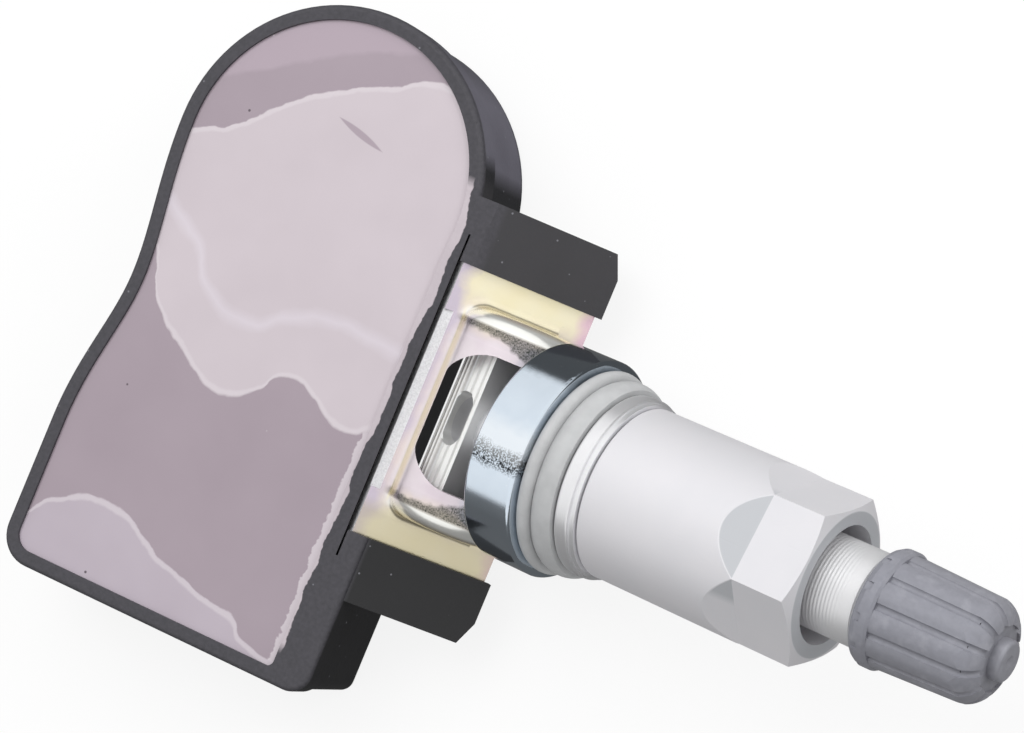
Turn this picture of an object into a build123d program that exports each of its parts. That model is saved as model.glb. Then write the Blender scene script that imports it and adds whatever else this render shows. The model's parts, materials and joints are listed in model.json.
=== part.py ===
from build123d import *
from math import atan2, cos, degrees, pi, radians, sin
import os

# Clamp-in tyre pressure sensor, in millimetres, +Z up.
# The sensor lies on the back of its housing, potted face up. X runs from the housing towards the
# valve and Y along the housing. Places are given from the swivel, the point where the axis of the
# valve crosses the axis of the cross pin that it swivels on. Heights on the valve are stations
# along its axis, counted outwards from the swivel.

# Angles
valve_rise = 13.0          # valve axis above the plane of the potted face
bracket_fall = 36.0        # bracket sheet below the plane of the potted face
swivel_down = 20.0         # how far the valve swivels down from rest

# Housing
body_depth = 12.5
face_height = 4.1          # potted face above the swivel
reach_left = 36.5          # swivel to the far side of the housing
reach_right = 4.5          # swivel to the near side, below the arms
reach_bottom = 27.25       # swivel to the square end
end_in = 21.3              # centre of the round end, back from the swivel
end_up = 15.1              # centre of the round end, along the housing
waist_in = 1.8             # how far the far side draws in at the waist
waist_up = -0.5
flare_up = -14.0           # where the waist starts on the square half
shoulder_drop = 3.0
corner_radius = 3.0
near_corner = 2.0          # lip's corner at the square end, on the valve's side
near_corner_low = 1.2      # the same on the body below the lip
near_corner_pocket = 0.6
lip_depth = 3.0
lip_step = 0.35
lip_round = 0.5
back_round = 0.9
wall = 1.35
floor_wall = 1.4
pocket_in = 8.1            # swivel to the pocket's near side
bay_in = 7.25              # swivel to the wall behind the bracket
bay_lean_start = 2.3       # height where that wall starts to lean over the sheet's cut edge
bay_lip_in = 6.6           # swivel to its upper edge, beside the arms
bay_middle_in = 6.35       # swivel to its upper edge, in the middle
bay_middle_span = 16.4
arm_gap = 24.8
arm_width = 5.75
arm_reach = 5.9
arm_root = 12.0
arm_top = 0.3              # top of the arms above the swivel, square to the sheet
arm_lip = 1.6              # plastic below the slot
arm_corner_along = 2.1
arm_corner_in = 0.92
fill_drop = 0.3            # potting below the rim

# Bracket
sheet = 1.8
sheet_top = -0.5           # top of the sheet against the swivel, square to the sheet
sheet_left = 7.2
sheet_right = 5.5
sheet_span = 29.5
sheet_corner = 1.0
slot_play = 0.05
hood_sheet = 1.6
hood_span = 19.2
hood_round = 1.9
hood_foot = 0.8
hood_foot_end = 3.0        # where the foot's fillet ends, beside the valve
margin_width = 0.9         # bevel along the sheet's edge, behind the hood
margin_drop = 0.35
window_left = 5.4
window_right = 2.0
window_span = 12.2
window_corner = 2.8
stem_slot_play = 0.4

# Swivel pin
pin_radius = 3.8
pin_play = 0.1
pin_end_play = 0.15
pin_flat = 0.8             # station of the flat that faces the valve
flute_count = 34
flute_depth = 0.22
port_length = 4.9          # air port: a slot across the pin
port_width = 2.0
port_station = -0.64
port_floor = 0.3
neck_bury = 2.8            # how far the stem's neck is screwed into the pin

# Valve stem
neck_radius = 2.5
stem_radius = 4.05
cap_thread_radius = 3.87
nut_seat = 15.6            # station where the nut bears on the washer
stem_mouth = 48.9
cap_thread_start = 40.0
mouth_chamfer = 0.4
air_radius = 1.2
chamber_radius = 2.1
chamber_start = 32.5
core_thread_radius = 2.65
core_thread_start = 43.0

# Cup, grommet and washer
cup_radius = 9.73
cup_wall = 1.23
cup_floor = 1.4
cup_height = 4.8
cup_play = 0.1             # cup floor above the hood
cup_bore_play = 0.1
cup_round = 0.3
grommet_play = 0.1
lobe_radius = 9.1
groove_radius = 8.36
groove_station = 11.66
second_lobe_radius = 8.72
washer_thickness = 1.84
washer_radius = 8.03
washer_rim = 0.5
washer_rim_radius = 7.78
washer_play = 0.2
soft_gap = 0.1             # between the grommet and the washer

# Nut
nut_radius = 7.52
nut_length = 20.4
nut_gap = 0.05
nut_play = 0.08
nut_face_radius = 6.24
nut_mouth_radius = 5.14
nut_mouth_depth = 8.45
nut_chamfer = 0.5
hex_across = 13.0
hex_length = 5.25
hex_runout = 2.5           # run-out length for each millimetre of depth
hex_turn = 50.0

# Valve core
core_play = 0.05
core_floor = 35.6          # lower end of the core body
core_sink = 0.6            # top of the core body below the stem's mouth
core_ledge = 41.0
core_bore = 0.75
spring_chamber = 1.7
pin_rod_radius = 0.6
pin_rod_start = 34.3
pin_sink = 0.3             # outer end of the core pin below the stem's mouth
pin_head_radius = 1.5
pin_head_sink = 1.1        # pin's head below the top of the core body
pin_head_height = 0.6
core_seal_radius = 1.75
core_seal_height = 0.9
spring_wire = 0.15
spring_radius = 1.2
spring_turns = 5

# Cap
cap_gap = 0.3              # mouth of the cap beyond the stem's shoulder
cap_play = 0.08
collar_radius = 5.0
collar_mouth_radius = 4.72
collar_length = 1.6
collar_nicks = 12
nick_width = 0.7
nick_depth = 0.18
barrel_radius = 4.8
barrel_end_radius = 4.4
cap_roof = 1.3
cap_end_round = 2.2
flute_lobes = 12
lobe_groove = 0.2
groove_cut = 0.32          # radius of the narrow groove between two lobes
groove_depth = 0.26
end_recess_radius = 2.8
end_recess = 0.3
boss_radius = 1.75
boss_height = 0.7
boss_round = 0.3
dimple_radius = 0.6
dimple_depth = 0.3
seal_thickness = 0.85
seal_gap = 0.08

# Electronics
cell_radius = 12.25
cell_height = 5.0
cell_side_gap = 1.1        # between the cell and the housing's round end
cell_floor_gap = 1.2       # between the cell and the pocket's floor
board_gap = 1.4            # between the cell and the board
board_thickness = 1.0
board_inset = 0.9
tab_thickness = 0.25
tab_width = 4.0
tab_foot = 1.2
chip_side = 7.0
chip_height = 2.2
chip_x = -22.0
chip_y = -10.0
vent_radius = 0.8
gasket_radius = 2.2
membrane_radius = 3.0
membrane_thickness = 0.25
membrane_recess = 0.4
ferrite_length = 8.0
ferrite_side = 2.8
ferrite_neck = 1.4
ferrite_flange = 1.0
coil_side = 2.5
coil_x = -16.0
coil_y = -19.0
crystal_size = (3.2, 2.5, 0.8)
crystal_place = (-29.5, -17.0)
capacitor_size = (1.6, 0.8, 0.8)
capacitor_pitch = 2.6
capacitor_rows = (-3.5, -22.5)

# The frame: its origin is under the middle of the whole sensor, on the face it lies on
rise = radians(valve_rise)
fall = radians(bracket_fall)
valve_way = Vector(cos(rise), 0, sin(rise))
sheet_way = Vector(cos(fall), 0, -sin(fall))
sheet_normal = Vector(sin(fall), 0, cos(fall))
cap_mouth = cap_thread_start + cap_gap
core_top = stem_mouth - core_sink
pin_head_start = core_top - pin_head_sink
pin_rod_end = stem_mouth - pin_sink
cap_ceiling = stem_mouth + 2 * seal_gap + seal_thickness
cap_end = cap_ceiling + cap_roof
tip_station = cap_end + boss_height
tip_reach = (tip_station - boss_round) * cos(rise) + (boss_radius - boss_round) * sin(rise) + boss_round
end_radius = cell_radius + cell_side_gap + wall
body_top = end_up + end_radius
swivel = Vector((reach_left - tip_reach) / 2, (reach_bottom - body_top) / 2, body_depth - face_height)
body_frame = Plane(origin=swivel)
valve_frame = Plane(origin=swivel, x_dir=(0, 1, 0), z_dir=valve_way)
bracket_frame = Plane(origin=swivel, x_dir=sheet_way, z_dir=sheet_normal)

# Sizes that mating pieces share
back = face_height - body_depth
pocket_floor = back + floor_wall
fill_level = face_height - fill_drop
hood_inner = pin_radius + pin_play
hood_outer = hood_inner + hood_sheet
cavity_span = hood_span - 2 * hood_sheet
sheet_low = sheet_top - sheet
cup_low = hood_outer + cup_play
cup_top = cup_low + cup_height
cup_inner = cup_radius - cup_wall
cup_seat = cup_low + cup_floor
washer_low = nut_seat - washer_thickness
nut_low = nut_seat + nut_gap
nut_end = nut_low + nut_length
cell_low = pocket_floor + cell_floor_gap
cell_top = cell_low + cell_height
board_low = cell_top + board_gap
board_top = board_low + board_thickness


def block(x, y, z):
    """Box between two values along each axis."""
    corner = Pos((x[0] + x[1]) / 2, (y[0] + y[1]) / 2, (z[0] + z[1]) / 2)
    return corner * Box(abs(x[1] - x[0]), abs(y[1] - y[0]), abs(z[1] - z[0]))


def rod(radius, low, high):
    """Cylinder about Z between two heights."""
    return Pos(0, 0, (low + high) / 2) * Cylinder(radius, high - low)


def along(profile, half):
    """Profile in the XZ plane, extruded by half both ways along Y."""
    face = make_face(profile)
    return extrude(face, half, dir=(0, 1, 0)) + extrude(face, half, dir=(0, -1, 0))


def turned(*corners):
    """Solid turned about Z. A corner is (radius, height), or (radius, height, fillet)."""
    profile = make_face(Polyline(*[(c[0], 0, c[1]) for c in corners], close=True))
    for corner in corners:
        if len(corner) == 3:
            vertex = profile.vertices().sort_by_distance((corner[0], 0, corner[1]))[0]
            profile = fillet(vertex, corner[2])
    return revolve(profile, Axis.Z)


def body_outline(inset, right, near_radius):
    """Outline of the housing, drawn in by inset, with its near side at right and a corner of near_radius."""
    low = -reach_bottom + inset
    left = -reach_left + inset
    radius = end_radius - inset
    end_left = (-end_in - radius, end_up)
    end_top = (-end_in, end_up + radius)
    end_right = (-end_in + radius, end_up)
    shoulder = (right, end_up - shoulder_drop)
    waist = (left + waist_in, waist_up)
    sides = [
        Line((right, low), (left, low)),
        Line((left, low), (left, flare_up)),
        Spline((left, flare_up), waist, end_left, tangents=[(0, 1), (0, 1)]),
        ThreePointArc(end_left, end_top, end_right),
        Line(end_right, shoulder),
        Line(shoulder, (right, low)),
    ]
    outline = make_face(sides)
    far_corner = outline.vertices().sort_by_distance((left, low))[0]
    outline = fillet(far_corner, corner_radius - inset)
    return fillet(outline.vertices().sort_by_distance((right, low))[0], near_radius)


def slab(outline, low, high):
    """Outline raised from one height to another."""
    return extrude(Pos(0, 0, low) * outline, high - low)


def arm(side):
    """One arm, in the bracket's frame. Its free corner is cut off."""
    near = side * arm_gap / 2
    far = side * (arm_gap / 2 + arm_width)
    plan = Polyline(
        (-arm_root, near),
        (arm_reach, near),
        (arm_reach, far - side * arm_corner_along),
        (arm_reach - arm_corner_in, far),
        (-arm_root, far),
        close=True,
    )
    low = sheet_low - arm_lip
    return extrude(Pos(0, 0, low) * make_face(plan), arm_top - low, dir=(0, 0, 1))


def bay(lip_in, half_span, right):
    """Space in front of the wall behind the bracket, which stands straight and then leans over the sheet."""
    lean = (bay_in - lip_in) / (face_height - bay_lean_start)
    top = face_height + 1
    side = Polyline(
        (right, 0, back - 1),
        (-bay_in, 0, back - 1),
        (-bay_in, 0, bay_lean_start),
        (lean * (top - bay_lean_start) - bay_in, 0, top),
        (right, 0, top),
        close=True,
    )
    return along(side, half_span)


def make_housing():
    lip_low = face_height - lip_depth
    upper = slab(body_outline(0, -reach_right, near_corner), lip_low, face_height)
    upper = fillet(upper.faces().sort_by(Axis.Z)[-1].edges(), lip_round)
    lower = slab(body_outline(lip_step, -reach_right - lip_step, near_corner_low), back, lip_low)
    lower = fillet(lower.faces().sort_by(Axis.Z)[0].edges(), back_round)
    body = body_frame * (upper + lower)
    behind = bay(bay_lip_in, arm_gap / 2, 0) + bay(bay_middle_in, bay_middle_span / 2, 0)
    arms = bracket_frame * (arm(1) + arm(-1))
    below_face = body_frame * block((-arm_root - 2, 20), (-40, 40), (back, face_height))
    body = body - body_frame * behind + (arms & below_face)
    pocket = slab(body_outline(wall, -pocket_in, near_corner_pocket), pocket_floor, face_height + 1)
    slot = block(
        (-sheet_left - 3, arm_reach + 1),
        (-sheet_span / 2 - slot_play, sheet_span / 2 + slot_play),
        (sheet_low - slot_play, sheet_top + slot_play),
    )
    slot_end = body_frame * bay(bay_lip_in, 40, 20)
    vent = Pos(chip_x, chip_y, 0) * rod(vent_radius, back - 1, pocket_floor)
    recess = Pos(chip_x, chip_y, 0) * rod(membrane_radius, back - 1, back + membrane_recess)
    body = body - (bracket_frame * slot & slot_end)
    return body - body_frame * pocket - body_frame * vent - body_frame * recess


def make_cell():
    can = rod(cell_radius, cell_low, cell_top)
    can = chamfer(can.edges().filter_by(GeomType.CIRCLE), 0.4)
    return body_frame * Pos(-end_in, end_up, 0) * can


def make_board():
    outline = body_outline(wall + board_inset, -pocket_in - board_inset, near_corner_pocket)
    return body_frame * slab(outline, board_low, board_top)


def make_tab(x, seat, reach):
    """Strip welded to a face of the cell, bent up to the board past the cell's side."""
    across = (x - tab_width / 2, x + tab_width / 2)
    flat = (seat, seat + tab_thickness)
    if seat < cell_low + cell_height / 2:
        flat = (seat - tab_thickness, seat)
    foot = end_up - cell_radius - tab_foot
    leg = block(across, (foot, foot + tab_thickness), (flat[0], board_low))
    return body_frame * (block(across, (foot, reach), flat) + leg)


def make_chip():
    lid = rod(chip_side * 0.4, board_low - chip_height, board_low - chip_height + 0.3)
    half = chip_side / 2
    case = block((-half, half), (-half, half), (board_low - chip_height + 0.3, board_low))
    return body_frame * Pos(chip_x, chip_y, 0) * (case + lid - rod(vent_radius, -9, board_low - 1))


def make_gasket():
    tube = turned(
        (vent_radius, pocket_floor),
        (gasket_radius, pocket_floor),
        (gasket_radius, board_low - chip_height),
        (vent_radius, board_low - chip_height),
    )
    return body_frame * Pos(chip_x, chip_y, 0) * tube


def make_membrane():
    top = back + membrane_recess
    disc = rod(membrane_radius - slot_play, top - membrane_thickness, top)
    return body_frame * Pos(chip_x, chip_y, 0) * disc


def make_ferrite():
    half = ferrite_length / 2
    middle = board_low - ferrite_side / 2
    ends = [
        block((x, x + ferrite_flange), (-ferrite_side / 2, ferrite_side / 2),
              (board_low - ferrite_side, board_low))
        for x in (-half, half - ferrite_flange)
    ]
    neck = block((-half, half), (-ferrite_neck / 2, ferrite_neck / 2),
                 (middle - ferrite_neck / 2, middle + ferrite_neck / 2))
    return body_frame * Pos(coil_x, coil_y, 0) * (neck + ends[0] + ends[1])


def make_winding():
    half = ferrite_length / 2 - ferrite_flange
    middle = board_low - ferrite_side / 2
    outside = block((-half, half), (-coil_side / 2, coil_side / 2),
                    (middle - coil_side / 2, middle + coil_side / 2))
    outside = fillet(outside.edges().filter_by(Axis.X), 0.5)
    inside = block((-half, half), (-ferrite_neck / 2, ferrite_neck / 2),
                   (middle - ferrite_neck / 2, middle + ferrite_neck / 2))
    return body_frame * Pos(coil_x, coil_y, 0) * (outside - inside)


def make_crystal():
    length, width, height = crystal_size
    case = block((-length / 2, length / 2), (-width / 2, width / 2), (board_low - height, board_low))
    return body_frame * Pos(crystal_place[0], crystal_place[1], 0) * case


def make_capacitors():
    length, width, height = capacitor_size
    one = block((-length / 2, length / 2), (-width / 2, width / 2), (board_low - height, board_low))
    places = [
        body_frame * Pos(chip_x + (i - 1) * capacitor_pitch, row, 0) * one
        for row in capacitor_rows
        for i in range(3)
    ]
    return Compound(children=places)


def make_potting(buried):
    fill = body_frame * slab(body_outline(wall, -pocket_in, near_corner_pocket), pocket_floor, fill_level)
    for piece in buried:
        fill = fill - piece
    port = body_frame * Pos(chip_x, chip_y, 0) * rod(gasket_radius, pocket_floor, board_low)
    return fill - port


def make_bracket():
    plate = block((-sheet_left, sheet_right), (-sheet_span / 2, sheet_span / 2), (sheet_low, sheet_top))
    plate = fillet(plate.edges().filter_by(Axis.Z), sheet_corner)
    bevel = Polyline(
        (-sheet_left - margin_width, 0, sheet_top - 2 * margin_drop),
        (-sheet_left + 2 * margin_width, 0, sheet_top + margin_drop),
        (-sheet_left - margin_width, 0, sheet_top + margin_drop),
        close=True,
    )
    plate = plate - along(bevel, bay_middle_span / 2)
    hood = Rot(90, 0, 0) * rod(hood_outer, -hood_span / 2, hood_span / 2)
    hood = fillet(hood.edges().filter_by(GeomType.CIRCLE), hood_round)
    hood = hood & block((-9, 9), (-hood_span, hood_span), (sheet_low + sheet / 2, 9))
    drawn = plate + hood
    behind = drawn & block((-sheet_left - 1, hood_foot_end), (-sheet_span, sheet_span), (-9, 9))
    beside = drawn & block((hood_foot_end, sheet_right + 1), (-sheet_span, sheet_span), (-9, 9))
    foot = [
        edge for edge in behind.edges()
        if abs(edge.center().Z - sheet_top) < 0.01
        and abs(edge.center().X) < hood_outer
        and abs(edge.center().Y) < hood_span / 2 + 0.01
    ]
    drawn = fillet(foot, hood_foot) + beside
    cavity = Rot(90, 0, 0) * rod(hood_inner, -cavity_span / 2, cavity_span / 2)
    under = block((-hood_inner, hood_inner), (-cavity_span / 2, cavity_span / 2), (sheet_low - 1, 0))
    window = block((-window_left, window_right), (-window_span / 2, window_span / 2), (-9, 9))
    corners = window.edges().filter_by(Axis.Z).group_by(Axis.X)[0]
    window = fillet(corners, window_corner)
    half_slot = neck_radius + stem_slot_play
    stem_slot = block((0, hood_outer + 1), (-half_slot, half_slot), (sheet_top + slot_play, 9))
    lean = 90 - valve_rise - bracket_fall + swivel_down
    lowest = Rot(0, lean, 0) * rod(neck_radius + pin_play, 0, hood_outer + 2)
    return bracket_frame * (drawn - cavity - under - window - stem_slot - lowest)


def air_port():
    """Slot with round ends that lets the air out of the valve's bore, through the neck and the pin."""
    radius = port_width / 2
    half = port_length / 2 - radius
    slot = block((-half, half), (port_floor, 9), (port_station - radius, port_station + radius))
    for x in (-half, half):
        slot = slot + Pos(x, 0, port_station) * Rot(-90, 0, 0) * rod(radius, port_floor, 9)
    return slot


def make_swivel_pin():
    points = []
    for i in range(flute_count):
        for share, radius in ((0.0, pin_radius), (0.45, pin_radius), (0.6, pin_radius - flute_depth),
                              (0.85, pin_radius - flute_depth)):
            angle = 2 * pi * (i + share) / flute_count
            points.append((0, radius * cos(angle), radius * sin(angle)))
    profile = make_face(Polyline(*points, close=True))
    half = cavity_span / 2 - pin_end_play
    barrel = extrude(profile, half, dir=(1, 0, 0)) + extrude(profile, half, dir=(-1, 0, 0))
    flat = block((-half - 1, half + 1), (-9, 9), (pin_flat, 9))
    thread = rod(neck_radius, pin_flat - neck_bury, 9)
    return valve_frame * (barrel - flat - thread - air_port())


def make_valve_stem():
    shank = turned(
        (0, pin_flat - neck_bury),
        (neck_radius, pin_flat - neck_bury),
        (neck_radius, cup_low + slot_play),
        (stem_radius, cup_low + slot_play),
        (stem_radius, cap_thread_start - 0.2),
        (cap_thread_radius, cap_thread_start),
        (cap_thread_radius, stem_mouth - mouth_chamfer),
        (cap_thread_radius - mouth_chamfer, stem_mouth),
        (0, stem_mouth),
    )
    bore = turned(
        (0, pin_flat - neck_bury + 0.8),
        (air_radius, pin_flat - neck_bury + 0.8),
        (air_radius, chamber_start - 1),
        (chamber_radius, chamber_start),
        (chamber_radius, core_thread_start - 0.5),
        (core_thread_radius, core_thread_start),
        (core_thread_radius, stem_mouth + 1),
        (0, stem_mouth + 1),
    )
    return valve_frame * (shank - bore - air_port())


def make_seat_cup():
    bore = stem_radius + cup_bore_play
    return valve_frame * turned(
        (bore, cup_low),
        (cup_radius, cup_low, cup_round),
        (cup_radius, cup_top, cup_round),
        (cup_inner, cup_top),
        (cup_inner, cup_seat, 0.6),
        (bore, cup_seat),
    )


def make_grommet():
    wall_radius = cup_inner - grommet_play
    end = washer_low - soft_gap
    lobe_start = cup_top + 0.05
    sides = [
        Polyline((stem_radius, 0, end), (stem_radius, 0, cup_seat), (wall_radius - 0.6, 0, cup_seat),
                 (wall_radius, 0, cup_seat + 0.6), (wall_radius, 0, lobe_start)),
        ThreePointArc((wall_radius, 0, lobe_start), (lobe_radius, 0, (lobe_start + groove_station) / 2),
                      (groove_radius, 0, groove_station)),
        ThreePointArc((groove_radius, 0, groove_station),
                      (second_lobe_radius, 0, (groove_station + end) / 2), (groove_radius, 0, end)),
        Line((groove_radius, 0, end), (stem_radius, 0, end)),
    ]
    return valve_frame * revolve(make_face(sides), Axis.Z)


def make_washer():
    bore = stem_radius + washer_play
    return valve_frame * turned(
        (bore, washer_low),
        (washer_radius, washer_low, 0.2),
        (washer_radius, nut_seat - washer_rim, 0.15),
        (washer_rim_radius, nut_seat - washer_rim),
        (washer_rim_radius, nut_seat),
        (bore, nut_seat),
    )


def make_rim_nut():
    bore = stem_radius + nut_play
    mouth = nut_end - nut_mouth_depth
    blank = turned(
        (bore, nut_low),
        (nut_radius, nut_low, 0.25),
        (nut_radius, nut_end - nut_chamfer),
        (nut_face_radius, nut_end),
        (nut_mouth_radius, nut_end),
        (nut_mouth_radius, mouth),
        (bore, mouth - (nut_mouth_radius - bore)),
    )
    apothem = hex_across / 2
    far = nut_radius + 2
    flat_start = nut_end - hex_length
    cut = Polyline(
        (apothem, 0, flat_start),
        (apothem, 0, nut_end + 1),
        (far, 0, nut_end + 1),
        (far, 0, flat_start - (far - apothem) * hex_runout),
        close=True,
    )
    wedge = along(cut, nut_radius)
    for i in range(6):
        blank = blank - Rot(0, 0, hex_turn + 30 + 60 * i) * wedge
    return valve_frame * blank


def make_core_body():
    barrel = chamber_radius - core_play
    thread = core_thread_radius - core_play
    return valve_frame * turned(
        (core_bore, core_floor),
        (barrel, core_floor),
        (barrel, core_thread_start - 0.5),
        (thread, core_thread_start),
        (thread, core_top),
        (spring_chamber, core_top),
        (spring_chamber, core_ledge),
        (core_bore, core_ledge),
    )


def make_core_pin():
    return valve_frame * turned(
        (0, pin_rod_start),
        (pin_rod_radius, pin_rod_start),
        (pin_rod_radius, pin_head_start),
        (pin_head_radius, pin_head_start),
        (pin_head_radius, pin_head_start + pin_head_height),
        (pin_rod_radius, pin_head_start + pin_head_height),
        (pin_rod_radius, pin_rod_end),
        (0, pin_rod_end),
    )


def make_core_seal():
    top = core_floor - core_play
    return valve_frame * turned(
        (pin_rod_radius, top - core_seal_height),
        (core_seal_radius, top - core_seal_height),
        (core_seal_radius, top),
        (pin_rod_radius, top),
    )


def make_core_spring():
    low = core_ledge + spring_wire + core_play
    high = pin_head_start - spring_wire - core_play
    line = Helix(pitch=(high - low) / spring_turns, height=high - low, radius=spring_radius,
                 center=(0, 0, low))
    wire = Plane(origin=line @ 0, z_dir=line % 0) * Circle(spring_wire)
    return valve_frame * sweep(wire, path=line, is_frenet=True)


def lobed(radius, groove, count):
    """Outline of equal convex lobes that meet in grooves."""
    sides = []
    for i in range(count):
        start = 2 * pi * i / count
        middle = 2 * pi * (i + 0.5) / count
        end = 2 * pi * (i + 1) / count
        sides.append(ThreePointArc(
            ((radius - groove) * cos(start), (radius - groove) * sin(start)),
            (radius * cos(middle), radius * sin(middle)),
            ((radius - groove) * cos(end), (radius - groove) * sin(end)),
        ))
    return make_face(sides)


def make_valve_cap():
    barrel_low = cap_mouth + collar_length
    length = cap_end - barrel_low
    taper = atan2(barrel_radius - barrel_end_radius, length)
    lobes = Pos(0, 0, barrel_low) * extrude(lobed(barrel_radius, lobe_groove, flute_lobes), length,
                                            taper=degrees(taper))
    envelope = turned(
        (0, barrel_low),
        (barrel_radius, barrel_low),
        (barrel_end_radius, cap_end, cap_end_round),
        (0, cap_end),
    )
    barrel = lobes & envelope
    out = groove_cut - groove_depth
    bend_radius = cap_end_round + out
    bend = (barrel_end_radius - cap_end_round, cap_end - cap_end_round)
    turn = (bend[0] + bend_radius * cos(taper), 0, bend[1] + bend_radius * sin(taper))
    start = Vector(*turn) - 1.1 * length * Vector(-sin(taper), 0, cos(taper))
    halfway = pi / 4 + taper / 2
    middle = (bend[0] + bend_radius * cos(halfway), 0, bend[1] + bend_radius * sin(halfway))
    path = Line(start, turn) + ThreePointArc(turn, middle, (bend[0], 0, bend[1] + bend_radius))
    groove = sweep(Plane(origin=start, z_dir=path % 0) * Circle(groove_cut), path=path)
    for i in range(flute_lobes):
        barrel = barrel - Rot(0, 0, 360 * i / flute_lobes) * groove
    collar = turned(
        (0, cap_mouth),
        (collar_mouth_radius, cap_mouth),
        (collar_radius, cap_mouth + 0.5),
        (collar_radius, barrel_low - 0.25, 0.15),
        (barrel_radius, barrel_low),
        (0, barrel_low),
    )
    nick = block((collar_radius - nick_depth, collar_radius + 1), (-nick_width / 2, nick_width / 2),
                 (cap_mouth - 1, cap_mouth + collar_length / 2))
    for i in range(collar_nicks):
        collar = collar - Rot(0, 0, 360 * (i + 0.5) / collar_nicks) * nick
    recess = rod(end_recess_radius, cap_end - end_recess, cap_end + 1)
    boss = turned(
        (0, cap_end - 0.5),
        (boss_radius, cap_end - 0.5),
        (boss_radius, tip_station, boss_round),
        (dimple_radius, tip_station),
        (0, tip_station - dimple_depth),
    )
    bore = rod(cap_thread_radius + cap_play, cap_mouth - 1, cap_ceiling)
    return valve_frame * (barrel - recess + collar + boss - bore)


def make_cap_seal():
    low = stem_mouth + seal_gap
    return valve_frame * rod(cap_thread_radius, low, low + seal_thickness)


def make_sensor():
    cell = make_cell()
    board = make_board()
    tab_top = make_tab(-end_in - 3, cell_top, end_up - 4)
    tab_bottom = make_tab(-end_in + 4, cell_low, end_up - 3)
    chip = make_chip()
    gasket = make_gasket()
    ferrite = make_ferrite()
    winding = make_winding()
    crystal = make_crystal()
    capacitors = make_capacitors()
    small = list(capacitors.solids())
    buried = [cell, board, tab_top, tab_bottom, chip, gasket, ferrite, winding, crystal] + small
    return {
        "housing": make_housing(),
        "potting_compound": make_potting(buried),
        "circuit_board": board,
        "battery_cell": cell,
        "battery_tab_top": tab_top,
        "battery_tab_bottom": tab_bottom,
        "sensor_chip": chip,
        "port_gasket": gasket,
        "vent_membrane": make_membrane(),
        "ferrite_core": ferrite,
        "coil_winding": winding,
        "crystal": crystal,
        "chip_capacitors": capacitors,
        "bracket": make_bracket(),
        "swivel_pin": make_swivel_pin(),
        "valve_stem": make_valve_stem(),
        "seat_cup": make_seat_cup(),
        "grommet": make_grommet(),
        "washer": make_washer(),
        "rim_nut": make_rim_nut(),
        "core_body": make_core_body(),
        "core_pin": make_core_pin(),
        "core_seal": make_core_seal(),
        "core_spring": make_core_spring(),
        "valve_cap": make_valve_cap(),
        "cap_seal": make_cap_seal(),
    }


os.makedirs("parts", exist_ok=True)
for name, piece in make_sensor().items():
    export_step(piece, f"parts/{name}.step")
print("swivel at", swivel, "valve way", valve_way)
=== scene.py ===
# %% [markdown]
# # A clamp-in tyre pressure sensor
# The sensor is a potted black housing, a plated sheet bracket between its arms and a metal valve that
# swivels on the bracket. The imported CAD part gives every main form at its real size, in metres. This
# script dresses it: the camera first, then the light, then one finish after another, each made the way
# the real surface was made.

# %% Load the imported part
import json
import math

import bpy
from mathutils import Matrix, Vector


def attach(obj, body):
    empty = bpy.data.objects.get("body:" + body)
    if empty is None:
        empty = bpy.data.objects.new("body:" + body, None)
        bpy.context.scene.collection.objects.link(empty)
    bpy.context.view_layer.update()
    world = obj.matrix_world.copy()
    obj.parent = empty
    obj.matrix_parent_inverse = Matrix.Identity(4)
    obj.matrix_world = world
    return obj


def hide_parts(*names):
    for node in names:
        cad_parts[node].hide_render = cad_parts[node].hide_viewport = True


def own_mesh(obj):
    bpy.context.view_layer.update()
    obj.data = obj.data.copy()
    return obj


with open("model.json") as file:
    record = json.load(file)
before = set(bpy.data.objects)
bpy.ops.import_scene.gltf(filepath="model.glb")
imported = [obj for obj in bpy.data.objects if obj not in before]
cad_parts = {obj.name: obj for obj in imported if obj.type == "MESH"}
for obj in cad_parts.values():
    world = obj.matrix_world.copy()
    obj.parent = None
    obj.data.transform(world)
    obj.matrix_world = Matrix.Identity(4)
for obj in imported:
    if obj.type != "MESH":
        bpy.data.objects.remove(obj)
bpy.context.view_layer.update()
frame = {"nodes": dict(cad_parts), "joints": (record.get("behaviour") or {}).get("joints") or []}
nodes = frame["nodes"]
print("pieces in the part:", len(nodes))

# %% [markdown]
# ## Places on the part
# The joints of the part say where its axes are. The swivel is the point where the valve's axis crosses
# the cross pin, and every place on the valve is a station along its axis and a radius from it. Reading
# them from the record keeps this script right when the part changes.

# %% The swivel and the valve's axis
joints = {joint["name"]: joint for joint in frame["joints"]}
swivel = Vector(joints["valve_swivel"]["pos_m"])
valve_way = Vector(joints["nut_turn"]["axis"]).normalized()
across_way = Vector(joints["valve_swivel"]["axis"]).normalized()
up_way = valve_way.cross(across_way)
mm = 0.001
print("swivel at", [round(c / mm, 2) for c in swivel], "mm")

# %% [markdown]
# ## The camera
# A product photograph is taken with a long lens from about a foot away. The view direction, the roll and
# the distance were worked out from the ellipses of the washer and the nut, which are circles in reality.
# The three columns of the rotation are the camera's right, up and backward directions.

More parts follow.
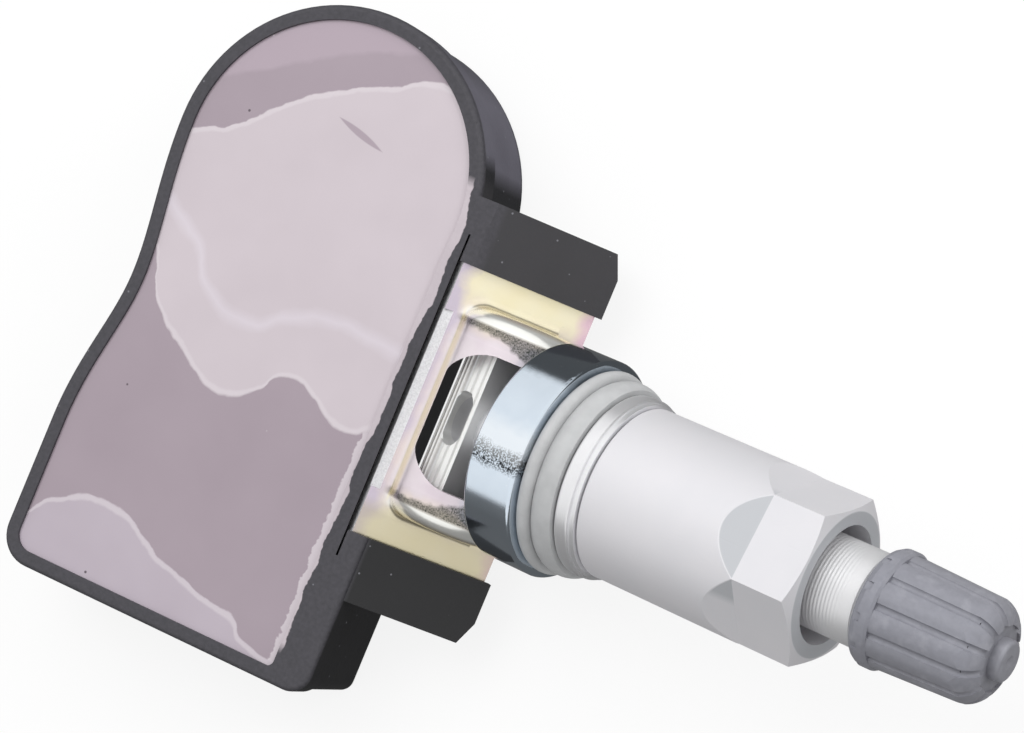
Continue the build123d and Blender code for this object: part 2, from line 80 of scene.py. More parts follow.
# %% Camera
camera_right = (0.87062, 0.38422, -0.30724)
camera_up = (-0.36949, 0.92302, 0.10725)
camera_back = (0.32480, 0.02014, 0.94557)
camera_turn = Matrix((camera_right, camera_up, camera_back)).transposed()
camera_from_swivel = Vector((83.66, 10.94, 243.09)) * mm
camera_data = bpy.data.cameras.new("camera")
camera_data.lens = 105.47
camera_data.sensor_width = 36.0
camera_data.sensor_fit = "HORIZONTAL"
camera_data.clip_start = 0.01
camera = bpy.data.objects.new("camera", camera_data)
bpy.context.scene.collection.objects.link(camera)
camera.matrix_world = Matrix.Translation(swivel + camera_from_swivel) @ camera_turn.to_4x4()
bpy.context.scene.camera = camera
print("camera at", [round(c / mm) for c in camera.location], "mm")

# %% [markdown]
# ## Helpers for materials
# A material is a small tree of nodes. One function adds a node, sets what it is given and links what
# comes from another node, so that each finish below reads like a recipe. Colours are written as sRGB
# hex, as a colour picker gives them, and one function turns them to the linear numbers of a shader.

# %% Colour, node and material helpers
def colour(code):
    """sRGB hex to linear: a dark channel is divided by 12.92, a lighter one follows a power of 2.4."""
    channels = [int(code[i:i + 2], 16) / 255 for i in (0, 2, 4)]
    return [c / 12.92 if c <= 0.04045 else ((c + 0.055) / 1.055) ** 2.4 for c in channels] + [1.0]


def add(tree, kind, *inputs, **settings):
    """One node. Values in order go to its inputs, and named ones to the socket or property of that name.

    A value that is a node or a socket is linked, and any other is set.
    """
    made = tree.nodes.new("ShaderNode" + kind)
    known = {s.name.lower().replace(" ", "_") for s in made.inputs}
    for name, value in settings.items():
        if name not in known:
            setattr(made, name, value)
    open_inputs = [s for s in made.inputs if s.enabled]
    by_name = {s.name.lower().replace(" ", "_"): s for s in open_inputs}
    wanted = list(zip(open_inputs, inputs)) + [(by_name[n], v) for n, v in settings.items() if n in known]
    for socket, value in wanted:
        if isinstance(value, bpy.types.Node):
            value = next(s for s in value.outputs if s.enabled)
        if isinstance(value, bpy.types.NodeSocket):
            tree.links.new(value, socket)
        else:
            socket.default_value = value
    return made


def new_finish(name):
    """An empty material: its tree and its Object coordinates, which are metres in the part's frame."""
    material = bpy.data.materials.new(name)
    material.use_nodes = True
    tree = material.node_tree
    tree.nodes.clear()
    return material, tree, add(tree, "TexCoord").outputs["Object"]


def close(tree, **settings):
    """The shader that every finish ends in, linked to the material's output."""
    shader = add(tree, "BsdfPrincipled", **settings)
    add(tree, "OutputMaterial", shader)
    return shader


def per(size):
    """Scale of a texture whose features are that many millimetres wide."""
    return 1.0 / (size * mm)


def wear(node_name, material):
    """Gives a CAD piece its finish through its material slot."""
    nodes[node_name].material_slots[0].material = material


print("black #26262A is", [round(c, 4) for c in colour("26262A")])

# %% [markdown]
# ## Masks in the part's own millimetres
# Real finishes change from place to place: a plating is paler on a bend, and resin creeps up a wall. The
# next helpers give places in millimetres along chosen directions, draw a line through a few points and
# mask what lies beyond it. A little noise added to a place makes such an edge as ragged as a real one.

# %% Place helpers
def maths(tree, kind, first, second=0.0):
    """One number from two, as a socket."""
    return add(tree, "Math", first, second, operation=kind).outputs[0]


def times(tree, *factors):
    """The product of several numbers, such as masks that all have to hold."""
    product = factors[0]
    for factor in factors[1:]:
        product = maths(tree, "MULTIPLY", product, factor)
    return product


def plus(tree, *terms):
    """The sum of several numbers, such as the parts of a height."""
    total = terms[0]
    for term in terms[1:]:
        total = maths(tree, "ADD", total, term)
    return total


def noise(tree, place, size, detail):
    """Soft noise between 0 and 1 with features that many millimetres wide."""
    return add(tree, "TexNoise", vector=place, scale=per(size), detail=detail).outputs["Fac"]


def ramp(tree, value, start, end, low, high):
    """A number that goes from low to high while value goes from start to end, and stays at both ends."""
    return add(tree, "MapRange", value, start, end, low, high).outputs[0]


def along(tree, place, way):
    """How far a place lies from the swivel along a direction, in millimetres."""
    steps = add(tree, "VectorMath", place, tuple(swivel), operation="SUBTRACT")
    reach = add(tree, "VectorMath", steps, tuple(Vector(way) / mm), operation="DOT_PRODUCT")
    return reach.outputs["Value"]


def ragged(tree, place, size, amount):
    """Noise between minus and plus amount, with features that many millimetres wide."""
    return ramp(tree, noise(tree, place, size, 4.0), 0.25, 0.75, -amount, amount)


def beyond(tree, value, limit, soft):
    """1 where value is above limit and 0 below it, blended over a width of twice soft."""
    return ramp(tree, maths(tree, "SUBTRACT", value, limit), -soft, soft, 0.0, 1.0)


def between(tree, value, low, high, soft):
    """1 where value lies between two limits."""
    return times(tree, beyond(tree, value, low, soft), beyond(tree, high, value, soft))


def line_through(tree, value, points):
    """A smooth line through a few points: the second number of a point, at the first."""
    lows = [min(axis) for axis in zip(*points)]
    spans = [max(axis) - min(axis) for axis in zip(*points)]
    share = ramp(tree, value, lows[0], lows[0] + spans[0], 0.0, 1.0)
    bend = add(tree, "FloatCurve", 1.0, share)
    knots = bend.mapping.curves[0].points
    while len(knots) < len(points):
        knots.new(0.5, 0.5)
    for knot, point in zip(knots, points):
        knot.location = [(c - low) / span for c, low, span in zip(point, lows, spans)]
    bend.mapping.update()
    return ramp(tree, bend, 0.0, 1.0, lows[1], lows[1] + spans[1])


def blend(tree, mask, under, over):
    """Colour over laid on colour under where the mask is 1."""
    return add(tree, "MixRGB", mask, under, over).outputs[0]


def spots(tree, place, size, radius):
    """Small scattered dots: one in each cell of that size, with that radius in cells."""
    cells = add(tree, "TexVoronoi", vector=place, scale=per(size))
    return ramp(tree, cells.outputs["Distance"], radius * 0.6, radius, 1.0, 0.0)


def distance(tree, first, second):
    """The distance from an axis, from two distances square to it and to each other."""
    squares = plus(tree, times(tree, first, first), times(tree, second, second))
    return maths(tree, "SQRT", squares)


# %% [markdown]
# ## Light
# A plain studio: a bright white surround, one large softbox above and one at the side. Bare metal shows
# nothing but what it reflects, so the surround is as much part of the metal's look as the metal is. For
# reflections it is bright above and dark below, as in a room with a dark bench that stands higher towards
# the front, and that draws the dark lines on the plated bends. The lamps light the matt surfaces and
# aren't reflected, so that no metal clips.

# %% Surround and lamps
world = bpy.data.worlds.new("surround")
world.use_nodes = True
tree = world.node_tree
tree.nodes.clear()
rays = add(tree, "LightPath")
heading = add(tree, "SeparateXYZ", add(tree, "TexCoord").outputs["Generated"])
height = heading.outputs["Z"]
bench = ramp(tree, heading.outputs["Y"], -0.68, -0.25, 0.27, 0.0)
above = ramp(tree, maths(tree, "SUBTRACT", height, bench), -0.04, 0.04, 0.13, 0.86)
glow = plus(tree, above, ramp(tree, height, 0.0, 0.7, 0.0, 0.14))
ambient = ramp(tree, heading.outputs["Y"], -0.6, 0.6, 0.50, 0.56)
seen = blend(tree, rays.outputs["Is Glossy Ray"], ambient, glow)
shown = blend(tree, rays.outputs["Is Camera Ray"], seen, (1, 1, 1, 1))
light = add(tree, "Background", shown, 1.0)
tree.links.new(light.outputs[0], add(tree, "OutputWorld").inputs[0])
bpy.context.scene.world = world


def softbox(name, place, size, power):
    """A square area lamp, aimed at the swivel, with its place and size in millimetres."""
    data = bpy.data.lights.new(name, "AREA")
    data.shape = "RECTANGLE"
    data.size = size[0] * mm
    data.size_y = size[1] * mm
    data.energy = power
    lamp = bpy.data.objects.new(name, data)
    bpy.context.scene.collection.objects.link(lamp)
    lamp.location = swivel + Vector(place) * mm
    lamp.rotation_euler = (swivel - lamp.location).to_track_quat("-Z", "Y").to_euler()
    lamp.visible_glossy = False
    return lamp


softbox("softbox_over", (-120, 160, 380), (320, 320), 1.2)
softbox("softbox_side", (240, 260, 200), (160, 260), 0.5)
bpy.context.scene.view_settings.view_transform = "Standard"

# %% [markdown]
# ## The floor
# The sensor lies on the back of its housing on a white sweep. The camera sees the sweep as nearly white,
# and the object still leaves its soft shadow on it. Seen from below the sweep is clear, so that the back
# of the housing shows.

# %% Floor
half_side = 0.9
floor_mesh = bpy.data.meshes.new("floor")
sunk = -0.05 * mm
corners = [(-half_side, -half_side, sunk), (half_side, -half_side, sunk),
           (half_side, half_side, sunk), (-half_side, half_side, sunk)]
floor_mesh.from_pydata(corners, [], [(0, 1, 2, 3)])
floor = bpy.data.objects.new("floor", floor_mesh)
bpy.context.scene.collection.objects.link(floor)
material, tree, _ = new_finish("white_sweep")
rays = add(tree, "LightPath")
matt = add(tree, "BsdfPrincipled", base_color=colour("F4F4F4"), roughness=0.5)
white = add(tree, "Emission", color=(1, 1, 1, 1), strength=1.0)
share = ramp(tree, rays.outputs["Is Camera Ray"], 0.0, 1.0, 0.5, 0.86)
sweep = add(tree, "MixShader", share, matt, white)
under = add(tree, "NewGeometry").outputs["Backfacing"]
add(tree, "OutputMaterial", add(tree, "MixShader", under, sweep, add(tree, "BsdfTransparent")))
floor_mesh.materials.append(material)
floor.visible_glossy = False

# %% [markdown]
# ## The moulded housing
# Glass-filled nylon, moulded in an eroded tool: matt, nearly black, with a fine grain and a few specks of
# dust. The rim is a little paler and grainier than the arms. Painted light makes the upper arm and the
# round end wall lighter, and painted shade makes the lower arm darker. On the thin wall behind the
# bracket the resin has crept over the edge, and its margin is ragged. Nylon's IOR is about 1.53.

# %% Glass-filled nylon
material, tree, place = new_finish("nylon_moulded_black")
x = along(tree, place, (1, 0, 0))
y = along(tree, place, (0, 1, 0))
z = along(tree, place, (0, 0, 1))
grain = noise(tree, place, 0.35, 4.0)
cloud = noise(tree, place, 6.0, 3.0)
tone = blend(tree, cloud, colour("17171A"), colour("222226"))
wall_face, upper_arm_low, lower_arm_high, rim_low = -7.2, 11.0, -9.0, 3.6
past_wall = beyond(tree, x, wall_face, 0.2)
# Painted light: the upper arm is lighter than the rest of the black nylon.
lit_upper_arm = times(tree, beyond(tree, y, upper_arm_low, 1.0), past_wall)
tone = blend(tree, lit_upper_arm, tone, blend(tree, cloud, colour("2D2C2F"), colour("363538")))
# Painted light: the round end wall is a lighter violet grey where the light falls on it.
lit_wall = times(tree, beyond(tree, -7.9, x, 0.3), beyond(tree, x, -17.0, 5.0), beyond(tree, y, 17.0, 0.8),
                 beyond(tree, z, -7.6, 0.6))
tone = blend(tree, lit_wall, tone, blend(tree, cloud, colour("52505A"), colour("66646F")))
# Painted shade: the lower arm is darker than the rest of the black nylon.
shaded_lower_arm = times(tree, beyond(tree, lower_arm_high, y, 0.8), past_wall)
tone = blend(tree, shaded_lower_arm, tone, blend(tree, cloud, colour("101012"), colour("1A1A1C")))
# Above this height the rim is paler and grainier than the arms.
rim = beyond(tree, z, rim_low, 0.15)
tone = blend(tree, rim, tone, blend(tree, grain, colour("2C2C30"), colour("47454B")))
tone = blend(tree, spots(tree, place, 1.6, 0.07), tone, colour("707076"))
edge = line_through(tree, y, [(-24, -8.0), (-19, -7.9), (-12, -7.75), (-4, -7.7), (3, -7.85), (7.5, -7.6),
                              (10, -7.3), (14, -7.35), (17, -7.75), (20, -8.1)])
edge = plus(tree, edge, ragged(tree, place, 0.5, 0.06), ragged(tree, place, 4.5, 0.4))
crept = times(tree, beyond(tree, edge, x, 0.04), between(tree, x, -8.6, -6.9, 0.02), rim,
              between(tree, y, -24.0, 19.0, 0.5))
resin = blend(tree, cloud, colour("A99EA5"), colour("C9C0C5"))
bump = add(tree, "Bump", strength=0.4, distance=0.05 * mm, height=grain)
close(tree, base_color=blend(tree, crept, tone, resin), ior=1.53, normal=bump,
      roughness=ramp(tree, crept, 0.0, 1.0, 0.52, 0.15))
wear("housing", material)

# %% [markdown]
# ## The potting
# Two-part polyurethane, poured level and cured: glossy and mauve grey. The reflections on its glossy top
# are
# painted into its colour: a pale sheet of painted reflection with a wavy margin over the middle, paler
# patches of painted reflection at both ends and a pale painted strip along the wall. The margins are drawn
# as lines through a few points, roughened by noise, with a painted bright highlight along each. A soft
# painted highlight wave crosses the middle, and one shallow nick is cut in the surface.

# %% Polyurethane potting
material, tree, place = new_finish("polyurethane_cast_gloss")
plain_x = along(tree, place, (1, 0, 0))
x = plus(tree, plain_x, ragged(tree, place, 3.5, 0.45))
y = plus(tree, along(tree, place, (0, 1, 0)), ragged(tree, place, 2.6, 0.25))
reflection_top = line_through(tree, x, [(-36, 13.9), (-31.7, 15.4), (-28.3, 18.3), (-25.3, 20.8), (-22, 22.5),
                                  (-18.2, 24.2), (-15.4, 25.7), (-12, 25.9)])
reflection_low = line_through(tree, x, [(-36, 4.5), (-33, 2.6), (-31.3, -1.2), (-28.8, -3.2), (-26, -5.0),
                                  (-22.9, -6.3), (-19, -4.7), (-16.8, -2.6), (-14.4, -3.2), (-10.7, -4.9),
                                  (-8, -4.0)])
upper_reflection_line = line_through(tree, x, [(-36, 18.3), (-32.7, 20.0), (-27.4, 23.1), (-22.4, 25.6), (-17.2, 27.5),
                                   (-10, 29.3)])
lower_reflection_line = line_through(tree, x, [(-36, -24.6), (-32.9, -20.2), (-30, -19.0), (-27.1, -18.9),
                                   (-23.6, -20.6), (-18.1, -22.5), (-13.5, -23.5), (-11.9, -24.7),
                                   (-8, -25.6)])
reflection_wave_line = line_through(tree, x, [(-34, 7.4), (-30, 5.2), (-26.5, 1.4), (-23, 0.2), (-19, 2.3), (-15, 3.4),
                                   (-9, 3.0)])
slow = noise(tree, place, 7.0, 2.0)
# Painted reflection: the pale sheet over the middle, the patches at both ends and the strip along the wall.
painted_reflection = times(tree, beyond(tree, reflection_top, y, 0.06), beyond(tree, y, reflection_low, 0.12))
upper_reflection = beyond(tree, y, upper_reflection_line, 0.25)
lower_reflection = beyond(tree, lower_reflection_line, y, 0.05)
edge_reflection = beyond(tree, plain_x, plus(tree, ragged(tree, place, 0.9, 0.3), -8.75), 0.05)
tone = blend(tree, slow, colour("978A93"), colour("A1949D"))
tone = blend(tree, upper_reflection, tone, colour("A799A3"))
tone = blend(tree, edge_reflection, tone, colour("C4BBC1"))
tone = blend(tree, painted_reflection, tone, blend(tree, slow, colour("BCB2B8"), colour("C7BDC3")))
tone = blend(tree, lower_reflection, tone, blend(tree, slow, colour("AA9FA9"), colour("B8AEB8")))
# Painted highlight: a soft pale wave across the middle.
off_reflection_wave = maths(tree, "ABSOLUTE", maths(tree, "SUBTRACT", y, reflection_wave_line))
tone = blend(tree, times(tree, beyond(tree, 0.5, off_reflection_wave, 0.5), 0.45), tone, colour("D6CFD8"))
# Painted highlight: a bright bead along each margin of the painted reflection.
highlight_width, highlight_strength = 0.5, 0.55
for margin, inward in ((reflection_top, -1), (reflection_low, 1), (lower_reflection_line, -1)):
    depth_in = times(tree, maths(tree, "SUBTRACT", y, margin), inward)
    highlight_bead = between(tree, depth_in, 0.0, highlight_width, 0.12)
    tone = blend(tree, times(tree, highlight_bead, highlight_strength), tone, colour("D0C8CD"))
cut_along = plus(tree, along(tree, place, (0.96, -0.28, 0)), 24.05)
cut_off = plus(tree, along(tree, place, (0.28, 0.96, 0)), -13.0)
lens = maths(tree, "SUBTRACT", 0.3, times(tree, cut_along, cut_along, 0.045))
cut = beyond(tree, lens, maths(tree, "ABSOLUTE", cut_off), 0.05)
tone = blend(tree, cut, tone, colour("A1949D"))
tone = blend(tree, spots(tree, place, 5.0, 0.03), tone, colour("5A5058"))
tone = blend(tree, spots(tree, place, 3.1, 0.02), tone, colour("E8E2E6"))
level = plus(tree, painted_reflection, lower_reflection, times(tree, slow, 2.0))
bump = add(tree, "Bump", strength=0.35, distance=0.06 * mm, height=level)
close(tree, base_color=tone, roughness=0.14, ior=1.5, normal=bump)
wear("potting_compound", material)

# %% [markdown]
# ## The zinc-plated bracket
# Drawn and blanked steel with a yellow passivated zinc plating. The passivation over the zinc is thin and
# changes colour with its thickness: pale yellow on the flat, pink on the bends and near the edges, and
# bluish round the window. The ends of the hood have a painted highlight, a bright streak, and a grainy
# band of painted shade beside it; a yellow painted highlight runs along the hood's foot, and painted
# shade darkens the lower end of the bracket and the inside of the hood. The sheared edge is bare,
# silvery and rough. The bracket never moves, so the mask of that edge may also read which way the
# surface faces.

# %% Yellow passivated zinc
sheet_fall = math.radians(36)
sheet_way = (math.cos(sheet_fall), 0, -math.sin(sheet_fall))
sheet_up = (math.sin(sheet_fall), 0, math.cos(sheet_fall))
material, tree, place = new_finish("steel_yellow_zinc")
u = along(tree, place, sheet_way)
y = along(tree, place, (0, 1, 0))
n = along(tree, place, sheet_up)
drift = ragged(tree, place, 4.0, 1.3)
tone = blend(tree, noise(tree, place, 2.5, 3.0), colour("F3E8BE"), colour("F8F2DA"))
across = maths(tree, "ABSOLUTE", y)
far = plus(tree, across, drift)
tone = blend(tree, beyond(tree, 9.0, far, 1.6), tone, colour("E2D4D0"))
tone = blend(tree, beyond(tree, plus(tree, drift, -6.0), u, 0.7), tone, colour("CFC4D2"))
tone = blend(tree, beyond(tree, plus(tree, u, drift), 4.6, 0.8), tone, colour("E6C6D2"))
window_ring = times(tree, between(tree, u, -5.7, 2.2, 0.4), between(tree, far, 5.4, 7.3, 0.5), 0.4)
tone = blend(tree, window_ring, tone, colour("CBD3EE"))

speck = noise(tree, place, 0.13, 5.0)
hood_end, flank_end, highlight_start = 9.3, 7.3, 8.3
on_hood = times(tree, beyond(tree, hood_end, across, 0.15), beyond(tree, n, -0.3, 0.2))
flank = times(tree, on_hood, beyond(tree, flank_end, across, 0.5))
pearl = blend(tree, beyond(tree, drift, 0.0, 1.2), colour("EBE3E6"), colour("DACDD5"))
tone = blend(tree, flank, tone, pearl)
# Painted highlight: a bright white streak along each end of the hood.
tone = blend(tree, times(tree, on_hood, beyond(tree, across, highlight_start, 0.15)), tone, colour("FDFDF8"))
# Painted shade: a dark band beside the highlight at each end of the hood; its grain is also a bump.
band_start = line_through(tree, u, [(-5.2, 7.75), (-3.0, 7.5), (-1.4, 6.8), (0.4, 6.3), (3.0, 6.0)])
past_start = maths(tree, "SUBTRACT", plus(tree, across, ragged(tree, place, 0.8, 0.2)), band_start)
shade_band = times(tree, on_hood, beyond(tree, past_start, 0.0, 0.15), beyond(tree, highlight_start, across, 0.12))
tone = blend(tree, times(tree, shade_band, ramp(tree, speck, 0.3, 0.7, 0.45, 1.0)), tone, colour("3B4038"))
# Painted shade: the lower end of the bracket, past its lower fold, is darker.
tone = blend(tree, times(tree, beyond(tree, -9.6, y, 0.6), 0.55), tone, colour("B8AE92"))
# Painted highlight: a yellow line along the foot of the hood.
crease_highlight = times(tree, between(tree, u, -5.62, -5.42, 0.05), between(tree, y, -8.6, 8.6, 0.4), 0.5)
tone = blend(tree, crease_highlight, tone, colour("F6E8AE"))

normal = add(tree, "NewGeometry").outputs["Normal"]
facing = add(tree, "VectorMath", normal, sheet_way, operation="DOT_PRODUCT").outputs["Value"]
sheet_edge = -6.38
cut_edge = times(tree, beyond(tree, sheet_edge, u, 0.03), beyond(tree, -0.2, facing, 0.1))
grit = noise(tree, place, 0.16, 4.0)
tone = blend(tree, cut_edge, tone, blend(tree, grit, colour("B0B0B4"), colour("F6F6F8")))
# Painted shade: the inside of the hood is dark.
bore_radius, bore_end = 3.98, 7.95
inside = times(tree, beyond(tree, bore_radius, distance(tree, u, n), 0.04),
               beyond(tree, bore_end, across, 0.05))
tone = blend(tree, inside, tone, colour("2A2826"))
height = plus(tree, times(tree, grit, ramp(tree, cut_edge, 0.0, 1.0, 0.10, 1.0)),
              times(tree, spots(tree, place, 0.9, 0.10), -0.6), times(tree, speck, shade_band),
              times(tree, noise(tree, place, 1.1, 2.0), 0.8))
bump = add(tree, "Bump", strength=0.5, distance=0.02 * mm, height=height)
metallic = times(tree, ramp(tree, flank, 0.0, 1.0, 0.7, 0.35), ramp(tree, cut_edge, 0.0, 1.0, 1.0, 0.15))
close(tree, base_color=tone, metallic=metallic, roughness=ramp(tree, cut_edge, 0.0, 1.0, 0.2, 0.6),
      normal=bump)
wear("bracket", material)

# %% [markdown]
# ## Turned and drawn metals
# The turned pieces carry the tool's fine feed marks: rings about the valve's axis, a few tenths of a
# millimetre apart. A few short scratches from handling cross them. A bare metal is fully metallic with
# the default IOR, so that its colour is its reflectance, and a blasted and anodised one also scatters.

# %% Metals
def metal(name, code, other, roughness, patch, grit, depth, ring=0.0, cut=0.0, scratch=0.0, satin=0.0,
          last=60.0, shaded_cuts=None):
    """A metal with two near tones in patches.

    The bump is a fine grit of a given size and depth in mm, rings of a given pitch and depth about the
    valve's axis up to the station called last, and noise stretched a dozen times for scratches. Satin
    is the share of light that a blasted and anodised skin scatters. The last argument gives a tone of
    painted shade for the end face and for the run-out of the hexagon's upper flat, with the stations
    between which that run-out lies, the station of the end face and the radius inside which metal is
    cut away.
    """
    material, tree, place = new_finish(name)
    tone = blend(tree, noise(tree, place, patch, 3.0), colour(code), colour(other))
    height = times(tree, noise(tree, place, grit, 3.0), depth)
    station = along(tree, place, valve_way)
    if shaded_cuts:
        shade_tone, first, flat_start, last_face, skin = shaded_cuts
        across = along(tree, place, across_way)
        lift = along(tree, place, up_way)
        flat_left, flat_right = -4.3, 5.0
        run_out = times(tree, between(tree, station, first, flat_start, 0.03),
                        beyond(tree, skin, distance(tree, across, lift), 0.02),
                        between(tree, across, flat_left, flat_right, 0.3), beyond(tree, lift, 0.0, 0.5))
        # Painted shade: the end face and the run-out of the upper flat are darker.
        shaded_faces = maths(tree, "MAXIMUM", run_out, beyond(tree, station, last_face, 0.02))
        tone = blend(tree, shaded_faces, tone, colour(shade_tone))
    if ring:
        wave = maths(tree, "SINE", times(tree, station, 2 * math.pi / ring))
        height = plus(tree, height, times(tree, wave, beyond(tree, last, station, 0.6), cut))
    if scratch:
        stretched = add(tree, "Mapping", vector=place, scale=(per(6.0), per(0.5), per(0.5)))
        lines = add(tree, "TexNoise", vector=stretched, scale=1.0, detail=2.0).outputs["Fac"]
        height = plus(tree, height, ramp(tree, lines, 0.66, 0.72, 0.0, -scratch))
    bump = add(tree, "Bump", strength=1.0, distance=mm, height=height)
    close(tree, base_color=tone, metallic=1.0 - satin, roughness=roughness, normal=bump)
    return material


wear("swivel_pin", metal("steel_bright_zinc", "F6F6F4", "E8E8E6", 0.3, 2.0, 0.3, 0.002, satin=0.5))
wear("washer", metal("aluminium_bright_turned", "F2F2F4", "E2E2E4", 0.3, 3.0, 0.3, 0.001,
                     ring=0.2, cut=0.002, satin=0.3))
run_out_start, nut_flat_start, nut_last_face, nut_skin = 26.0, 30.8, 36.03, 7.47
wear("rim_nut", metal("aluminium_satin", "E2E0E3", "D8D8DC", 0.6, 6.0, 0.25, 0.002,
                      ring=0.33, cut=0.0004, scratch=0.003, satin=0.6,
                      shaded_cuts=("BFC1C5", run_out_start, nut_flat_start, nut_last_face, nut_skin)))
last_ring = 38.4
wear("valve_stem", metal("aluminium_satin_stem", "E6E6E7", "DADADC", 0.45, 4.0, 0.25, 0.001,
                         ring=0.32, cut=0.010, satin=0.5, last=last_ring))
wear("core_body", metal("brass_turned", "D9B567", "C7A252", 0.3, 2.0, 0.2, 0.001, ring=0.3, cut=0.003))
wear("core_pin", metal("brass_drawn", "DDBD74", "CBA85C", 0.25, 1.0, 0.2, 0.001))
wear("core_spring", metal("steel_spring", "B9B9BB", "A2A2A5", 0.3, 1.0, 0.1, 0.001))
wear("battery_cell", metal("nickel_cell", "C9CACC", "B9BABD", 0.3, 5.0, 0.3, 0.001, scratch=0.001))
wear("battery_tab_top", metal("nickel_strip", "C4C1BA", "B4B1AA", 0.34, 2.0, 0.2, 0.001))
wear("battery_tab_bottom", bpy.data.materials["nickel_strip"])
wear("crystal", metal("steel_can", "D0D0D0", "C0C0C0", 0.25, 2.0, 0.2, 0.001))

# %% [markdown]
# ## The core's spring
# The spring closes up when the pin is pressed, which a rigid node can't do. Its coil is drawn here with
# the node's own sizes.

# %% Coil of the spring
def coil(name, low, high, radius, wire, turns, steps=28, sides=8):
    """A round wire on a helix about the valve's axis, with its ends closed by flat fans.

    At share t the centre is at angle 2 pi turns t and station low + t (high - low), and the ring of
    points about it is wire (cos a times the outward direction + sin a times the cross direction).
    """
    points, faces = [], []
    count = int(turns * steps)
    for i in range(count + 1):
        angle = 2 * math.pi * turns * i / count
        outward = across_way * math.cos(angle) + up_way * math.sin(angle)
        sideways = up_way * math.cos(angle) - across_way * math.sin(angle)
        slope = sideways * (2 * math.pi * radius * turns) + valve_way * (high - low)
        cross = slope.normalized().cross(outward)
        centre = swivel + (outward * radius + valve_way * (low + (high - low) * i / count)) * mm
        for k in range(sides):
            turn = 2 * math.pi * k / sides
            points.append(centre + (outward * math.cos(turn) + cross * math.sin(turn)) * wire * mm)
    for i in range(count):
        for k in range(sides):
            near, far_end = i * sides, (i + 1) * sides
            faces.append((near + k, near + (k + 1) % sides, far_end + (k + 1) % sides, far_end + k))
    faces.append(tuple(range(sides))[::-1])
    faces.append(tuple(count * sides + k for k in range(sides)))
    mesh = bpy.data.meshes.new(name)
    mesh.from_pydata(points, [], faces)
    mesh.polygons.foreach_set("use_smooth", [len(face) == 4 for face in faces])
    piece = bpy.data.objects.new(name, mesh)
    bpy.context.scene.collection.objects.link(piece)
    return piece


spring_low, spring_high, stroke = 41.2, 47.0, 1.2
spring_radius, spring_wire, spring_turns = 1.2, 0.15, 5
spring = coil("spring_coil", spring_low, spring_high, spring_radius, spring_wire, spring_turns)
spring.data.materials.append(bpy.data.materials["steel_spring"])
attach(spring, "valve")
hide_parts("core_spring")
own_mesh(spring)

# %% [markdown]
# ## The drawn cup
# Bright zinc with a bluish passivation, smooth enough to mirror the surround. The drawing die has left a
# band of fine drag marks along its side, where the plating is grainy and rough. Painted reflections lie in
# its colour: a dark, speckled one over that band, a paler sheen over the middle of the top and a dark
# slate one on the far side.

# %% Blue zinc
material, tree, place = new_finish("steel_blue_zinc")
station = along(tree, place, valve_way)
side = plus(tree, along(tree, place, across_way), ragged(tree, place, 0.9, 0.25))
on_top = beyond(tree, along(tree, place, up_way), 0.0, 1.0)
cloud = noise(tree, place, 3.0, 3.0)
speck = noise(tree, place, 0.15, 5.0)
tone = blend(tree, cloud, colour("E2ECF6"), colour("D0DCE8"))
# Painted reflection: a dark, speckled band over the drag marks, whose grain and roughness are real.
drag_marks_and_reflection = times(tree, between(tree, side, -2.15, -0.45, 0.3), on_top, between(tree, station, 5.5, 11.0, 0.4))
tone = blend(tree, times(tree, drag_marks_and_reflection, ramp(tree, speck, 0.40, 0.56, 0.0, 1.0)), tone, colour("2B2D30"))
# Painted reflection: a paler sheen over the middle of the top.
pale_reflection = times(tree, between(tree, side, -0.9, 1.6, 0.8), on_top, 0.6)
tone = blend(tree, pale_reflection, tone, colour("F6FAFD"))
# Painted reflection: the far side is a darker slate.
shaded = times(tree, beyond(tree, side, 6.3, 0.4), 0.45)
tone = blend(tree, shaded, tone, blend(tree, cloud, colour("4A545E"), colour("7A858F")))
tone = blend(tree, times(tree, spots(tree, place, 0.7, 0.06), 0.7), tone, colour("FFFFFF"))
height = times(tree, speck, ramp(tree, drag_marks_and_reflection, 0.0, 1.0, 0.003, 0.02))
bump = add(tree, "Bump", strength=1.0, distance=mm, height=height)
close(tree, base_color=tone, metallic=1.0, normal=bump, roughness=ramp(tree, drag_marks_and_reflection, 0.0, 1.0, 0.10, 0.3))
wear("seat_cup", material)

# %% [markdown]
# ## Rubber, plastic and what is inside
# Moulded pieces are nearly uniform: two close tones, a fine bump and the roughness of the material. The
# board, the winding and the rest of the electronics are hidden by the potting. They still get the finish
# that such pieces have, for anyone who opens the part.

# %% Moulded and inner finishes
def dull(name, code, other, roughness, patch, grit, depth):
    """A plain moulded finish with two near tones and a fine bump of a given size and depth in mm."""
    material, tree, place = new_finish(name)
    tone = blend(tree, noise(tree, place, patch, 4.0), colour(code), colour(other))
    bump = add(tree, "Bump", strength=1.0, distance=depth * mm, height=noise(tree, place, grit, 3.0))
    close(tree, base_color=tone, roughness=roughness, normal=bump)
    return material


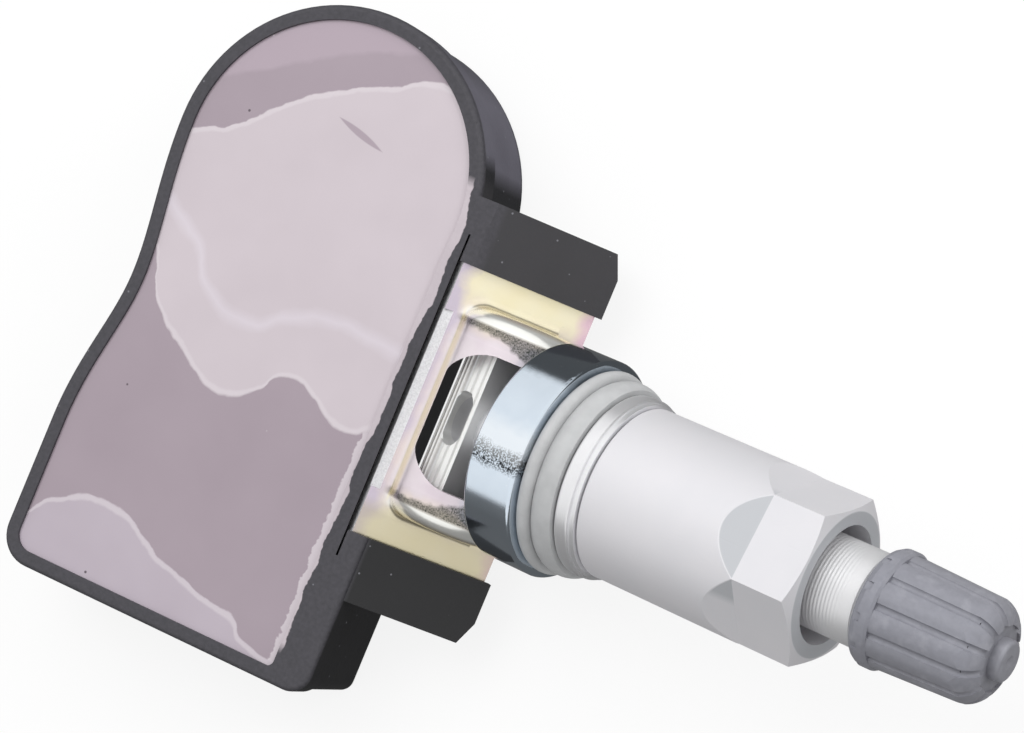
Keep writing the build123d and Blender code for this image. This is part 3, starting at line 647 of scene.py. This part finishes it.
wear("grommet", dull("rubber_grey_moulded", "BFC0C1", "A9AAAB", 0.42, 1.2, 0.25, 0.004))
wear("sensor_chip", dull("epoxy_black", "17171A", "232327", 0.5, 1.0, 0.15, 0.004))
wear("port_gasket", dull("silicone_cream", "D2CCC0", "C4BDB0", 0.55, 1.5, 0.3, 0.003))
wear("vent_membrane", dull("membrane_white", "F0F0EE", "E0E0DC", 0.8, 0.4, 0.1, 0.01))
wear("ferrite_core", dull("ferrite_grey", "2C2C2E", "3A3A3D", 0.45, 0.8, 0.15, 0.005))
wear("chip_capacitors", dull("ceramic_tan", "B0926A", "9C7F5A", 0.4, 0.5, 0.1, 0.002))
wear("core_seal", dull("rubber_black", "1E1E1F", "2A2A2B", 0.6, 0.8, 0.2, 0.003))
wear("cap_seal", dull("rubber_dark_disc", "262627", "333334", 0.6, 1.0, 0.2, 0.003))

material, tree, place = new_finish("board_green")
weave = add(tree, "TexVoronoi", vector=place, scale=per(1.6), feature="DISTANCE_TO_EDGE")
track = ramp(tree, weave.outputs["Distance"], 0.04, 0.07, 1.0, 0.0)
tone = blend(tree, track, colour("1C5A38"), colour("2B7A4C"))
bump = add(tree, "Bump", strength=0.5, distance=0.02 * mm, height=track)
close(tree, base_color=tone, roughness=0.3, ior=1.5, normal=bump)
wear("circuit_board", material)

material, tree, place = new_finish("copper_wound")
wire_pitch = 0.22
turn = maths(tree, "SINE", times(tree, along(tree, place, (1, 0, 0)), 2 * math.pi / wire_pitch))
tone = blend(tree, beyond(tree, turn, -0.4, 0.4), colour("7A3E1E"), colour("C77A45"))
bump = add(tree, "Bump", strength=1.0, distance=0.03 * mm, height=turn)
close(tree, base_color=tone, metallic=1.0, roughness=0.3, normal=bump)
wear("coil_winding", material)

# %% [markdown]
# ## The dust cap
# Grey nylon with the faint mottling of a filled plastic, and paler where it has been handled.

# %% Dust cap
material, tree, place = new_finish("plastic_grey_cap")
mottle = noise(tree, place, 0.5, 4.0)
above = beyond(tree, along(tree, place, up_way), 0.0, 5.0)
tone = blend(tree, above, colour("8C8B90"), colour("8C8D96"))
worn = ragged(tree, place, 1.6, 0.5)
tone = blend(tree, times(tree, mottle, 0.45), tone, colour("626268"))
tone = blend(tree, plus(tree, worn, -0.1), tone, colour("A8A8B0"))
bump = add(tree, "Bump", strength=1.0, distance=0.006 * mm, height=mottle)
close(tree, base_color=tone, roughness=0.42, ior=1.53, normal=bump)
wear("valve_cap", material)

# %% Last step: update the view layer
bpy.context.view_layer.update()
